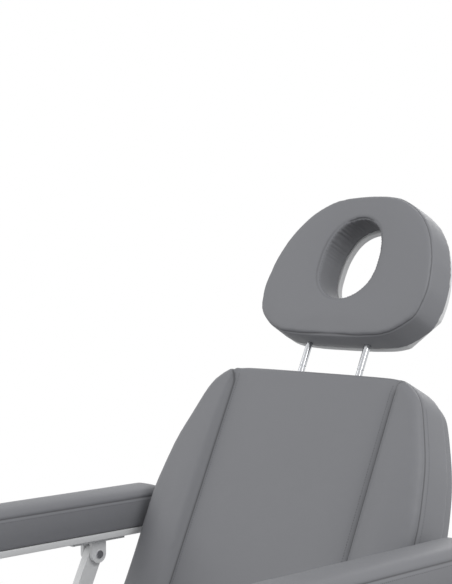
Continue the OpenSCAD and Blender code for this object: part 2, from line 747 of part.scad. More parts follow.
module backrest_cross_tubes() color(white) on_back() for (w = [recline_pin_w, back_cross_w])
  x_tube(back_rail_x, tube_w, tube_w, tube_wall, [-board_low_t + tube_w / 2, w]);

module backrest_ears() color(white) on_back() both_sides() side_plate(plate_t, ear_x) difference() {
  union() {
    circle(r = ear_r);
    polygon([[0, -ear_r], [-board_low_t + tube_w, back_rail_low_w], [-board_low_t + tube_w, 4 * ear_r],
      [-board_low_t, 4 * ear_r], [-board_low_t, ear_r], [0, ear_r]]);
  }
  circle(r = pin_r + pin_fit);
}

module backrest_motor_clevis() color(white) on_back() both_sides()
  side_plate(plate_t, motor_eye_w / 2 + side_gap) difference() {
    union() {
      translate([-board_low_t + tube_w, recline_pin_w - motor_eye_r])
        square([-recline_pin_t + board_low_t - tube_w, 2 * motor_eye_r]);
      translate([-recline_pin_t, recline_pin_w]) circle(r = motor_eye_r);
    }
    translate([-recline_pin_t, recline_pin_w]) circle(r = pin_r + pin_fit);
  }

module backrest_motor_pin() color(steel)
  x_pin(pin_r, -motor_eye_w / 2 - side_gap - plate_t, motor_eye_w / 2 + side_gap + plate_t, recline_b);

// Outline of the backrest, smaller by an inset, as a drawing with Y up along the back
module back_outline(inset) {
  rows = [for (w = stations(back_len, nose_r, back_corner_r)) w * (back_len - 2 * inset) / back_len + inset];
  right = [for (w = rows) [half_at(back_plan, (w - inset) * back_len / (back_len - 2 * inset)) - inset, w]];
  left = [for (i = [len(right) - 1 : -1 : 0]) [-right[i][0], right[i][1]]];
  polygon(concat(right, left));
}

module backrest_board() color(white) on_back()
  translate([0, -board_low_t, back_hinge_gap]) rotate([90, 0, 0]) linear_extrude(board_t)
    back_outline(board_inset);

// Headrest guides: blocks on the backrest board with a bore for each post
module guide_block(grow)
  translate([post_x - guide_w / 2 - grow, -post_t - guide_front - grow, guide_low_w - grow])
    cube([guide_w + 2 * grow, guide_front + post_t - under_t + soft_gap + grow, guide_len + 2 * grow]);

module headrest_guides() color(dark) on_back() both_sides() difference() {
  guide_block(0);
  translate([post_x, -post_t, guide_low_w - over])
    cylinder(r = post_d / 2 + pin_fit, h = guide_len + 2 * over);
}

module backrest_cushion() color(leather) on_back() difference() {
  translate([0, 0, back_hinge_gap]) rotate([90, 0, 0])
    cushion(back_plan, [cushion_crown, bolster_rise, channel_d, edge_r, nose_r, edge_r],
      under_t, top_t, seam_x);
  both_sides() {
    guide_block(soft_gap);
    translate([post_x, -post_t, guide_low_w]) cylinder(r = post_d / 2 + soft_gap, h = guide_len + head_gap);
  }
}

module headrest_posts() color(steel) on_back() both_sides()
  translate([post_x, -post_t, head_low_w]) difference() {
    translate([0, 0, -post_len]) cylinder(r = post_d / 2, h = post_len + post_in);
    for (i = [0 : notch_count - 1]) translate([0, 0, -notch_first - i * notch_step]) difference() {
      cylinder(r = post_d, h = notch_w);
      translate([0, 0, -over]) cylinder(r = post_d / 2 - notch_d, h = notch_w + 2 * over);
    }
  }

// Blocks on the headrest board that grip the posts
module socket_block(grow)
  translate([post_x - socket_w / 2 - grow, -post_t - socket_w / 2 - grow, head_low_w + socket_in])
    cube([socket_w + 2 * grow, socket_w / 2 + post_t - head_back_t + soft_gap + grow, socket_len + grow]);

module headrest_sockets() color(steel) on_back() both_sides() difference() {
  socket_block(0);
  translate([post_x, -post_t, head_low_w])
    cylinder(r = post_d / 2 + pin_fit, h = socket_in + socket_len + over);
}

module headrest_board() color(white) on_back()
  translate([0, -head_back_t + soft_gap + head_board_t, head_mid_w]) rotate([90, 0, 0])
    linear_extrude(head_board_t)
    difference() {
      polygon([for (p = head_outer) p * (1 - 2 * board_inset / head_w)]);
      polygon(head_inner);
    }

module headrest_cushion() color(leather) on_back() difference() {
  skin([
    head_ring(head_outer, head_inner, edge_r / 4, head_back_t),
    head_ring(head_outer, head_inner, 0, head_back_t + head_t / 3),
    head_ring(head_outer, head_inner, 0, head_front_t - edge_r),
    head_ring(head_outer, head_inner, edge_r / 3, head_front_t - edge_r / 3),
    head_ring(head_outer, head_inner, edge_r, head_front_t),
    head_ring(head_outer, head_inner, 3 * edge_r, head_front_t + cushion_crown / 2),
    head_ring(head_inner, head_outer, edge_r, head_front_t),
    head_ring(head_inner, head_outer, edge_r / 4, head_front_t - edge_r / 3),
    head_ring(head_inner, head_outer, 0, head_front_t - edge_r),
    head_ring(head_inner, head_outer, 0, head_back_t)], loop = true);
  both_sides() {
    socket_block(soft_gap);
    translate([post_x, -post_t, head_low_w - over]) cylinder(r = post_d / 2 + soft_gap, h = post_in + over);
  }
}

module armrest_bracket(side) color(white) translate([side * arm_x, 0, 0]) {
  translate([-arm_pin_half, arm_pivot[0] - arm_bracket_len / 2, arm_board_low_z - arm_ear_t])
    cube([2 * arm_pin_half, arm_bracket_len, arm_ear_t]);
  both_sides() side_plate(arm_ear_t, arm_bar_t / 2 + side_gap) difference() {
    union() {
      translate([arm_pivot[0] - arm_bar_r, arm_pivot[1]])
        square([2 * arm_bar_r, arm_board_low_z - arm_ear_t / 2 - arm_pivot[1]]);
      translate(arm_pivot) circle(r = arm_bar_r);
    }
    translate(arm_pivot) circle(r = small_pin_r + pin_fit);
  }
}

module armrest_board(side) color(white)
  translate([side * arm_x, arm_front_y + arm_board_inset, arm_board_low_z])
    linear_extrude(arm_board_t - soft_gap)
      round_plate(arm_w - 2 * arm_board_inset, arm_len - 2 * arm_board_inset, arm_edge_r);

module armrest_pad(side) color(leather) translate([side * arm_x, arm_front_y, 0])
  cushion([arm_w / 2, arm_len, 0, arm_len, arm_edge_r, arm_edge_r],
    [arm_crown, 0, 0, arm_edge_r, arm_edge_r, 2 * arm_edge_r], arm_low_z, arm_top_z, arm_w / 4);

// Hinged frame of a leg rest: outer tube, goose neck plates to the hinge and ears for the spring
module leg_frame(side) color(white) on_leg(side) {
  translate([0, -leg_tube_start - leg_tube_len, leg_tube_t - leg_tube_w / 2])
    y_tube(leg_tube_w, leg_tube_w, leg_tube_len, tube_wall);
  both_sides() side_plate(leg_ear_t, leg_tube_w / 2) difference() {
    union() {
      circle(r = leg_ear_r);
      polygon([[leg_ear_r, 0], each leg_neck,
        [-leg_tube_start - leg_ear_len, leg_tube_t - leg_tube_w],
        [-leg_tube_start - leg_ear_len, leg_tube_t], [-leg_ear_r, leg_tube_t], [-leg_ear_r, 0]]);
    }
    circle(r = small_pin_r + pin_fit);
  }
  both_sides() side_plate(spring_ear_t, spring_eye_w / 2 + side_gap) difference() {
    union() {
      translate([-spring_pin_w - spring_eye_r, spring_pin_t])
        square([2 * spring_eye_r, leg_tube_t - leg_tube_w - spring_pin_t]);
      translate([-spring_pin_w, spring_pin_t]) circle(r = spring_eye_r);
    }
    translate([-spring_pin_w, spring_pin_t]) circle(r = small_pin_r + pin_fit);
  }
}

// Sliding inner tube of a leg rest with the saddle that carries the board
module leg_slide(side) color(steel) on_leg(side) {
  translate([0, -leg_slide_start - leg_slide_len, leg_tube_t - leg_tube_w / 2])
    y_tube(leg_slide_w, leg_slide_w, leg_slide_len, tube_wall);
  translate([-leg_saddle_w / 2, -leg_slide_start - leg_slide_len,
    leg_tube_t - leg_tube_w / 2 + leg_slide_w / 2])
      cube([leg_saddle_w, leg_saddle_len, board_low_t - leg_tube_t + (leg_tube_w - leg_slide_w) / 2]);
}

module leg_board(side) color(white) on_leg(side)
  translate([0, -leg_hinge_gap - leg_len + board_inset, board_low_t]) linear_extrude(board_t)
    round_plate(2 * (leg_half_w - board_inset), leg_len - 2 * board_inset, nose_r);

module leg_cushion(side) color(leather) on_leg(side) translate([0, -leg_hinge_gap - leg_len, 0])
  cushion([leg_half_w, leg_len, 0, leg_len, nose_r, nose_r],
    [cushion_crown, 0, 0, edge_r, edge_r, nose_r], under_t, top_t, leg_half_w / 2);

// Gas spring: pressure tube with its eye on the seat
module leg_spring(side) color(dark) translate([side * leg_x, 0, 0]) along(spring_a, spring_b) difference() {
  union() {
    cylinder(r = spring_r, h = spring_mouth);
    x_rod(spring_eye_r, -spring_eye_w / 2, spring_eye_w / 2, [0, 0]);
  }
  translate([0, 0, spring_eye_r]) cylinder(r = spring_bore_r, h = spring_mouth);
  x_rod(small_pin_r + pin_fit, -spring_eye_w, spring_eye_w, [0, 0]);
  both_sides() translate([spring_eye_w / 2, -spring_r - over, -spring_r - over])
    cube([spring_r, 2 * (spring_r + over), spring_r + over + spring_flat]);
}

// Gas spring rod with its eye and the pin that holds it on the leg rest
module leg_spring_rod(side) color(steel) translate([side * leg_x, 0, 0]) along(spring_b, spring_a) {
  cylinder(r = spring_rod_r, h = spring_rod_len);
  x_rod(spring_eye_r, -spring_eye_w / 2, spring_eye_w / 2, [0, 0]);
  x_rod(small_pin_r, -spring_pin_half - head_len, spring_pin_half + head_len, [0, 0]);
}

base_rails();
base_cross_tubes();
base_tube_caps();
foot_studs();
foot_pads();
lift_base_brackets();
base_pivot_pins();
lift_motor_clevis();
control_box();
mains_inlet();
lift_arm_bars();
lift_torsion_tube();
lift_horn_pin();
lift_links();
lift_motor();
lift_motor_rod();
seat_rails();
seat_cross_tubes();
lift_hangers();
seat_pivot_pins();
recline_motor_bracket();
recline_seat_ears();
seat_board();
seat_cushion();
leg_hinge_ears();
leg_spring_ears();
arm_outriggers();
arm_uprights();
backrest_rails();
backrest_cross_tubes();
backrest_ears();
backrest_motor_clevis();
backrest_motor_pin();
backrest_board();
backrest_cushion();
headrest_guides();
recline_motor();
recline_motor_rod();
headrest_posts();
headrest_sockets();
headrest_board();
headrest_cushion();
armrest_bracket(1);  // armrest_bracket_left
armrest_board(1);  // armrest_board_left
armrest_pad(1);  // armrest_pad_left
armrest_bracket(-1);  // armrest_bracket_right
armrest_board(-1);  // armrest_board_right
armrest_pad(-1);  // armrest_pad_right
leg_frame(1);  // leg_frame_left
leg_slide(1);  // leg_slide_left
leg_board(1);  // leg_board_left
leg_cushion(1);  // leg_cushion_left
leg_spring(1);  // leg_spring_left
leg_spring_rod(1);  // leg_spring_rod_left
leg_frame(-1);  // leg_frame_right
leg_slide(-1);  // leg_slide_right
leg_board(-1);  // leg_board_right
leg_cushion(-1);  // leg_cushion_right
leg_spring(-1);  // leg_spring_right
leg_spring_rod(-1);  // leg_spring_rod_right
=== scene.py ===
import json
from math import cos, pi, radians, sin

import bmesh
import bpy
import numpy as np
from mathutils import Matrix, Vector
from mathutils.bvhtree import BVHTree
from mathutils.kdtree import KDTree


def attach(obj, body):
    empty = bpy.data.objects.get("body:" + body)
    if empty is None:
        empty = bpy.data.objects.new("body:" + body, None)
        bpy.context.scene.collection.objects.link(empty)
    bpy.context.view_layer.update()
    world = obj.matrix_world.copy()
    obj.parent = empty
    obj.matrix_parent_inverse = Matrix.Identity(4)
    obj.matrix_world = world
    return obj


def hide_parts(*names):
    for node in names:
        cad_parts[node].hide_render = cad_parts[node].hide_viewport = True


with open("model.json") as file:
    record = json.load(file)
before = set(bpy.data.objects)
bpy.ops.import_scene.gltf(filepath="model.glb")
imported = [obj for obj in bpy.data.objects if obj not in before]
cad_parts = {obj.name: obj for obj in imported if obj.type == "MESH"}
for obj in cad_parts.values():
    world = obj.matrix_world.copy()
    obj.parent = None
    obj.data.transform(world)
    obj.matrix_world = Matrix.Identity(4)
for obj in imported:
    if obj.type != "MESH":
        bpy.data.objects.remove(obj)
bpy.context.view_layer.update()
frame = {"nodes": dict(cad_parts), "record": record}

# Camera: it stands where the photograph was taken from, to the sitter's left of the chair and in front of it,
# almost level with the backrest's top. Place, turn and focal length were fitted to the outlines.
lens = bpy.data.cameras.new("camera")
lens.lens = 81.05
lens.sensor_width = 36
eye = bpy.data.objects.new("camera", lens)
eye.location = (1.5235, -1.239, 1.2633)
eye.rotation_euler = (radians(88.95), 0, radians(45.54))
bpy.context.scene.collection.objects.link(eye)
bpy.context.scene.camera = eye
bpy.context.scene.view_settings.view_transform = "Standard"


# Studio: a pale round floor under an even white sky, one big soft lamp high on the right, a weaker one on the
# left and one behind. What the camera sees past the floor is plain white, as behind the photographed chair.
def add(tree, kind, settings, sockets):
    """A node of a kind: its settings are made first, then its sockets get their values or links."""
    made = tree.nodes.new(kind)
    for name, value in settings.items():
        setattr(made, name, value)
    for name, value in sockets.items():
        if isinstance(value, Number):
            value = value.socket
        if isinstance(value, bpy.types.NodeSocket):
            tree.links.new(value, made.inputs[name])
        else:
            made.inputs[name].default_value = value
    return made


class Number:
    """A socket that gives a number, so that shading is written as sums."""

    def __init__(self, socket):
        self.socket = socket

    def sum(self, how, other):
        made = add(self.socket.id_data, "ShaderNodeMath", {"operation": how}, {0: self, 1: other})
        return Number(made.outputs[0])

    def __add__(self, other):
        return self.sum("ADD", other)

    __radd__ = __add__

    def __mul__(self, other):
        return self.sum("MULTIPLY", other)

    __rmul__ = __mul__

    def most(self, other):
        return self.sum("MAXIMUM", other)


def seen_white(tree, lit, strength):
    """Shader for what stands behind the chair: white to the camera and in reflections, dimmer as a light."""
    ray = add(tree, "ShaderNodeLightPath", {}, {}).outputs
    seen = Number(ray["Is Camera Ray"]).most(Number(ray["Is Glossy Ray"]))
    seen = seen.most(Number(ray["Is Transmission Ray"]))
    white = add(tree, "ShaderNodeBackground", {}, {"Color": (1, 1, 1, 1), "Strength": strength})
    return add(tree, "ShaderNodeMixShader", {}, {0: seen, 1: lit, 2: white.outputs[0]}).outputs[0]


sky = bpy.data.worlds.new("studio")
sky.use_nodes = True
sky.node_tree.nodes.clear()
dim = add(sky.node_tree, "ShaderNodeBackground", {}, {"Color": (1, 1, 1, 1), "Strength": 0.62})
add(sky.node_tree, "ShaderNodeOutputWorld", {}, {"Surface": seen_white(sky.node_tree, dim.outputs[0], 1.0)})
bpy.context.scene.world = sky


def mesh_object(name, bm, finish=None):
    """An object at the origin from a bmesh, which is freed."""
    mesh = bpy.data.meshes.new(name)
    bm.to_mesh(mesh)
    bm.free()
    made = bpy.data.objects.new(name, mesh)
    bpy.context.scene.collection.objects.link(made)
    if finish:
        mesh.materials.append(finish)
    return made


floor_bm = bmesh.new()
bmesh.ops.create_circle(floor_bm, cap_ends=True, segments=96, radius=2.9)
floor_look = bpy.data.materials.new("studio_floor")
floor_look.use_nodes = True
paint = floor_look.node_tree.nodes["Principled BSDF"]
paint.inputs["Roughness"].default_value = 0.8
ray = Number(add(floor_look.node_tree, "ShaderNodeLightPath", {}, {}).outputs["Is Camera Ray"])
pale = add(floor_look.node_tree, "ShaderNodeMix", {"data_type": "RGBA"},
           {0: ray, 6: (0.45, 0.45, 0.45, 1), 7: (0.9, 0.9, 0.9, 1)})
floor_look.node_tree.links.new(pale.outputs[2], paint.inputs["Base Color"])
floor = mesh_object("studio_floor", floor_bm, floor_look)


def soft_lamp(name, place, aim, size, watts):
    """A round lamp with a wide face, turned to a place."""
    lamp = bpy.data.lights.new(name, "AREA")
    lamp.shape = "DISK"
    lamp.size = size
    lamp.energy = watts
    made = bpy.data.objects.new(name, lamp)
    made.location = place
    made.rotation_euler = (Vector(aim) - Vector(place)).to_track_quat("-Z", "Y").to_euler()
    bpy.context.scene.collection.objects.link(made)


soft_lamp("lamp_right", (2.6, 0.2, 2.9), (0, 0.2, 0.9), 1.8, 35)
soft_lamp("lamp_left", (-2.4, -2.2, 2.4), (0, 0.1, 0.8), 2.0, 26)
soft_lamp("lamp_behind", (-1.0, 2.9, 2.4), (0, 0, 0.7), 1.8, 18)


# Frame, boards and fittings: the frame is welded steel with white powder coat, the boards are painted
# plywood, the pins and slides bright steel, the head posts chrome. Each solid gets the finish of its slot.
class Finish:
    """A finish on the Principled shader. Plain constants go on the shader's own sockets."""

    def __init__(self, name, **constants):
        self.material = bpy.data.materials.new(name)
        self.material.use_nodes = True
        self.tree = self.material.node_tree
        self.shader = self.tree.nodes["Principled BSDF"]
        self.place = self.node("ShaderNodeTexCoord", {}, {}).outputs["Object"]
        self.height = None
        for socket, value in constants.items():
            self.shader.inputs[socket.replace("_", " ")].default_value = value

    def node(self, kind, settings, sockets):
        return add(self.tree, kind, settings, sockets)

    def noise(self, scale, detail, stretch=(1, 1, 1)):
        """Cloudy pattern, about 0 to 1, with so many patches a metre."""
        place = self.node("ShaderNodeMapping", {}, {"Vector": self.place, "Scale": stretch})
        made = self.node("ShaderNodeTexNoise", {},
                         {"Vector": place.outputs[0], "Scale": scale, "Detail": detail})
        return Number(made.outputs[0])

    def cells(self, scale):
        """Distance pattern of packed rounded grains, with so many grains a metre."""
        made = self.node("ShaderNodeTexVoronoi", {"feature": "SMOOTH_F1"},
                         {"Vector": self.place, "Scale": scale})
        return Number(made.outputs["Distance"])

    def mark(self, name):
        """A number that the mesh carries at each point."""
        made = self.node("ShaderNodeAttribute", {"attribute_name": name}, {})
        return Number(made.outputs["Fac"])

    def mix(self, factor, one, two):
        made = self.node("ShaderNodeMix", {"data_type": "RGBA"}, {0: factor, 6: one, 7: two})
        return made.outputs[2]

    def give(self, socket, value):
        value = value.socket if isinstance(value, Number) else value
        self.tree.links.new(value, self.shader.inputs[socket])

    def bump(self, height, depth):
        """Adds a relief of a depth in metres on top of those before it."""
        sockets = {"Height": height, "Distance": depth, "Strength": 1.0}
        if self.height:
            sockets["Normal"] = self.height
        self.height = self.node("ShaderNodeBump", {}, sockets).outputs[0]
        self.give("Normal", self.height)


def srgb(r, g, b):
    """The linear colour of a screen colour, 0 to 255."""
    return tuple(((c / 255 + 0.055) / 1.055) ** 2.4 for c in (r, g, b)) + (1,)


def shade(colour, by):
    """A colour made darker or lighter by a factor."""
    return tuple(c * by for c in colour[:3]) + (1,)


def coated(name, colour, rough):
    """Powder coat: fine orange peel, a little duller where dust and hands have been."""
    made = Finish(name, Coat_Roughness=0.25, Coat_Weight=0.12)
    wear = made.noise(9, 4)
    made.give("Base Color", made.mix(wear, shade(colour, 0.95), colour))
    made.give("Roughness", wear * 0.16 + rough)
    made.bump(made.noise(520, 2), 0.00006)
    made.bump(made.noise(1900, 1), 0.00002)
    return made.material


def painted_board():
    """Painted plywood: almost smooth, with a faint long grain under the paint."""
    made = Finish("board_paint")
    white = srgb(222, 223, 224)
    grain = made.noise(26, 5, (14, 1, 14))
    made.give("Base Color", made.mix(grain, shade(white, 0.96), white))
    made.give("Roughness", grain * 0.15 + 0.42)
    made.bump(grain, 0.00008)
    made.bump(made.noise(900, 2), 0.00003)
    return made.material


def bare_metal(name, colour, rough, brushed):
    """Turned, drawn or plated metal: fine lines along the tool's path, and patches rubbed brighter."""
    made = Finish(name, Metallic=1.0)
    rubbed = made.noise(14, 3)
    lines = made.noise(700, 2, (0.04, 1, 1))
    made.give("Base Color", made.mix(rubbed, shade(colour, 0.9), colour))
    made.give("Roughness", rubbed * 0.08 + lines * brushed + rough)
    made.bump(lines, 0.00002 if brushed else 0.000004)
    return made.material


def moulded(name, colour, rough, grain):
    """Moulded plastic or rubber: spark-eroded grain, a little paler on the high spots."""
    made = Finish(name)
    pits = made.cells(grain)
    dust = made.noise(30, 4)
    made.give("Base Color", made.mix(pits * 0.5 + dust * 0.5, shade(colour, 0.8), shade(colour, 1.25)))
    made.give("Roughness", dust * 0.15 + rough)
    made.bump(pits, 0.00008)
    return made.material


slot_finish = {
    "frame_white": coated("frame_coat", srgb(226, 227, 228), 0.38),
    "board_white": painted_board(),
    "bright_steel": bare_metal("steel_drawn", (0.62, 0.62, 0.64, 1), 0.24, 0.12),
    "chrome": bare_metal("chrome_plate", (0.55, 0.56, 0.58, 1), 0.07, 0.0),
    "motor_case": moulded("motor_plastic", srgb(52, 53, 56), 0.5, 1400),
    "spring_tube": coated("spring_paint", srgb(30, 31, 33), 0.25),
    "black_plastic": moulded("cap_plastic", srgb(34, 35, 37), 0.45, 1600),
    "foot_rubber": moulded("foot_rubber", srgb(30, 30, 31), 0.75, 900),
    "guide_metal": bare_metal("guide_aluminium", (0.56, 0.56, 0.58, 1), 0.34, 0.16),
    "box_plastic": moulded("box_plastic", srgb(150, 152, 156), 0.5, 1500),
}


def leather(name, colour):
    """Grey coated cloth: rounded grain a millimetre across, long soft shades, and painted shade in the sewn
    seams' folds and on the face hole's sleeve.
    """
    made = Finish(name, IOR=1.45)
    cloud = made.noise(5, 3)
    fine = made.noise(70, 3)
    grain = made.cells(1050)
    tone = made.mix(cloud * 0.6 + fine * 0.4, shade(colour, 0.955), shade(colour, 1.035))
    # Painted shade: the 'seam' mark darkens the colour in the folds of the seams and on the sleeve of the
    # face hole.
    seam = made.mark("seam")
    made.give("Base Color", made.mix(seam * 0.8, tone, shade(colour, 0.3)))
    made.give("Roughness", fine * 0.12 + grain * 0.1 + seam * 0.2 + 0.44)
    made.bump(fine, 0.00025)
    made.bump(grain, 0.00012)
    return made.material


hide = leather("seat_leather", srgb(127, 128, 132))
slot_finish["upholstery"] = hide
for part in frame["record"]["subparts"]:
    node = frame["nodes"][part["node"]]
    node.data.materials.clear()
    node.data.materials.append(slot_finish[part["material_slot"]])


# Headrest cushion: foam 62 mm thick on the board, with a face hole, covered in coated cloth. Its face panel
# is sewn to the band round its edge and to the sleeve in the hole. The sleeve is gathered at its upper end.
recline_axis, recline_turn = (0, 0.27213, 0.525), radians(65)
back_frame = Matrix.Translation(recline_axis) @ Matrix.Rotation(recline_turn, 4, "X")


def parts_of(bm):
    """Everything in a bmesh, as the cutting operators take it."""
    return bm.verts[:] + bm.edges[:] + bm.faces[:]


def solid_of(node, plan):
    """A CAD solid as a closed bmesh in a cushion's own frame: X across, Y along it, Z out of its face."""
    bm = bmesh.new()
    bm.from_mesh(frame["nodes"][node].data)
    bmesh.ops.remove_doubles(bm, verts=bm.verts, dist=1e-5)
    bm.transform(plan.inverted())
    return bm


def reach_of(bm):
    """The lowest and the highest corner of a bmesh."""
    at = np.array([v.co for v in bm.verts])
    return at.min(0), at.max(0)


def outline_of(node, plan, height):
    """The solid's outline at a height, as closed rings of edges."""
    bm = solid_of(node, plan)
    bmesh.ops.bisect_plane(bm, geom=parts_of(bm), plane_co=(0, 0, height), plane_no=(0, 0, 1), dist=1e-6,
                           clear_inner=True, clear_outer=True)
    bmesh.ops.remove_doubles(bm, verts=bm.verts, dist=0.0008)
    for rounds in (2, 3):
        bmesh.ops.subdivide_edges(bm, edges=bm.edges, cuts=1)
        for _ in range(rounds):
            bmesh.ops.smooth_vert(bm, verts=bm.verts, factor=0.5, use_axis_x=True, use_axis_y=True)
    return bm


least_edge = 0.0012


def slab(bm, low, high, round_r):
    """Fills outlines and raises them to a slab whose upper edges are rounded."""
    bmesh.ops.remove_doubles(bm, verts=bm.verts, dist=least_edge)
    bmesh.ops.triangle_fill(bm, use_beauty=True, edges=bm.edges)
    bmesh.ops.dissolve_limit(bm, angle_limit=0.01, verts=bm.verts, edges=bm.edges)
    for v in bm.verts:
        v.co.z = low
    top = [g for g in bmesh.ops.extrude_face_region(bm, geom=bm.faces[:])["geom"]
           if isinstance(g, bmesh.types.BMVert)]
    bmesh.ops.translate(bm, vec=(0, 0, high - low), verts=top)
    bmesh.ops.recalc_face_normals(bm, faces=bm.faces)
    rim = [e for e in bm.edges if all(v.co.z > (low + high) / 2 for v in e.verts)
           and e.calc_face_angle(0) > 1]
    bmesh.ops.bevel(bm, geom=rim, affect="EDGES", offset=round_r, segments=4, profile=0.5, material=-1)
    return bm


def drawn_in(bm, low, high, by):
    """Moves an outline's sides in towards its middle by a length, or out where that is negative."""
    mid = (low + high) / 2
    for v in bm.verts:
        v.co.x = (v.co.x - mid[0]) * (1 - by / (high[0] - mid[0])) + mid[0]
        v.co.y = (v.co.y - mid[1]) * (1 - by / (high[1] - mid[1])) + mid[1]
    return bm


def joined(*parts):
    """One bmesh of several, which may overlap: the remesh melts them into one."""
    whole = bmesh.new()
    for part in parts:
        mesh = bpy.data.meshes.new("part")
        part.to_mesh(mesh)
        part.free()
        whole.from_mesh(mesh)
        bpy.data.meshes.remove(mesh)
    return whole


def settled(made):
    """Replaces an object's mesh by what its modifiers make of it."""
    mesh = bpy.data.meshes.new_from_object(made.evaluated_get(bpy.context.evaluated_depsgraph_get()))
    made.modifiers.clear()
    old, made.data = made.data, mesh
    bpy.data.meshes.remove(old)
    return made


def points_of(mesh):
    at = np.empty(len(mesh.vertices) * 3, np.float32)
    mesh.vertices.foreach_get("co", at)
    return at.reshape(-1, 3)


def put_points(mesh, at):
    mesh.vertices.foreach_set("co", at.astype(np.float32).ravel())
    mesh.update()


def evened(mesh, move, still, rounds):
    """Shares each point's move with its neighbours, as a cover does that lies on foam; sewn points stay."""
    ends = np.empty(len(mesh.edges) * 2, np.int32)
    mesh.edges.foreach_get("vertices", ends)
    one, two = ends[0::2], ends[1::2]
    count = np.bincount(ends, minlength=len(move)) + 1
    for _ in range(rounds):
        move = np.stack([(move[:, k] + np.bincount(one, move[two, k], len(move))
                          + np.bincount(two, move[one, k], len(move))) / count for k in range(3)], axis=1)
        move[still] = 0
    return move


pressure, last_frame = 4, 20


def stuffed(form, voxel, cap, held):
    """Blows a foam form's cover up as cloth, held where it is sewn down, each point moving up to a cap."""
    made = mesh_object("cover", form)
    skin = made.modifiers.new("skin", "REMESH")
    skin.mode, skin.voxel_size = "VOXEL", voxel
    settled(made)
    start = points_of(made.data)
    group = made.vertex_groups.new(name="held")
    still = held(start)
    group.add([int(i) for i in np.nonzero(still)[0]], 1.0, "REPLACE")
    cover = made.modifiers.new("cover", "CLOTH")
    cover.settings.vertex_group_mass = "held"
    cover.settings.use_pressure = True
    cover.settings.uniform_pressure_force = pressure
    cover.settings.effector_weights.gravity = 0
    for step in range(1, last_frame + 1):
        bpy.context.scene.frame_set(step)
    end = points_of(made.evaluated_get(bpy.context.evaluated_depsgraph_get()).data)
    made.modifiers.clear()
    bpy.context.scene.frame_set(1)
    move = end - start
    far = np.linalg.norm(move, axis=1, keepdims=True)
    move = move * np.minimum(1, cap / np.maximum(far, 1e-6))
    put_points(made.data, start + evened(made.data, move, still, rounds=40))
    made.vertex_groups.clear()
    smooth = made.modifiers.new("even", "SMOOTH")
    smooth.factor, smooth.iterations = 0.5, 3
    fine = made.modifiers.new("fine", "SUBSURF")
    fine.levels = fine.render_levels = 1
    return settled(made)


def fitted(made, low, high, proud=0.0):
    """Stretches a cover a little to its solid's own size. It may stand proud of its board."""
    at = points_of(made.data)
    low, high = low - (proud, 0, 0), high + (proud, proud, 0)
    now_low, now_high = at.min(0), at.max(0)
    put_points(made.data, (at - now_low) / (now_high - now_low) * (high - low) + low)


blend_points, blend_soft = 6, 0.0005


def outwards(bm):
    """Gives the cover's direction outwards at a place, blended between its points as they are now."""
    points = KDTree(len(bm.verts))
    ways = [v.normal.copy() for v in bm.verts]
    for k, v in enumerate(bm.verts):
        points.insert(v.co, k)
    points.balance()

    def way_at(place):
        way = Vector((0, 0, 0))
        for _, k, away in points.find_n(place, blend_points):
            way += ways[k] / (away + blend_soft)
        return way.normalized()
    return way_at


# The second number is how wide the painted shade in a seam's fold is, as a share of the seam's width.
seam_cuts, shade_share = (-1, -0.3, 0, 0.3, 1), 0.35
seam_melt = 0.0002


def painted_shade_mark(bm):
    """How much painted shade each point of a cover gets, in a seam's fold or on the hole's sleeve, for the
    finish.
    """
    return bm.verts.layers.float.get("seam") or bm.verts.layers.float.new("seam")


def pulled_in(v, mark, out, share, away, depth, width):
    """Paints shade on a point of a cover and pulls it in, by how far away the seam is in widths."""
    v[mark] = max(v[mark], share * np.exp(-(away / width / shade_share) ** 2))
    v.co -= out * (depth * share * np.exp(-(away / width) ** 2))


def sewn(bm, at, normal, on, depth, width):
    """Draws a seam in along a plane and paints shade in its fold: edges are cut in along it first, so that
    the fold is sharp.
    """
    at, normal = Vector(at), Vector(normal).normalized()
    way_at = outwards(bm)
    for step in seam_cuts:
        bmesh.ops.bisect_plane(bm, geom=parts_of(bm), plane_co=at + normal * width * step, plane_no=normal,
                               dist=1e-6)
    near = [v for v in bm.verts if abs((v.co - at).dot(normal)) < 1.2 * width]
    bmesh.ops.remove_doubles(bm, verts=near, dist=seam_melt)
    mark = painted_shade_mark(bm)
    for v in bm.verts:
        away = (v.co - at).dot(normal)
        if abs(away) < 3 * width:
            out = way_at(v.co)
            share = on(v.co, out)
            if share > 0:
                pulled_in(v, mark, out, share, away, depth, width)
    bm.normal_update()


def from_line(line, at):
    """Distance of a place from a line drawn on the cover, and the piece of the line it is nearest to."""
    best = (1.0, 0)
    for k, (one, two) in enumerate(zip(line, line[1:])):
        along = Vector(two) - Vector(one)
        share = min(1.0, max(0.0, (Vector(at[:2]) - Vector(one)).dot(along) / along.length_squared))
        best = min(best, ((Vector(at[:2]) - Vector(one) - along * share).length, k))
    return best


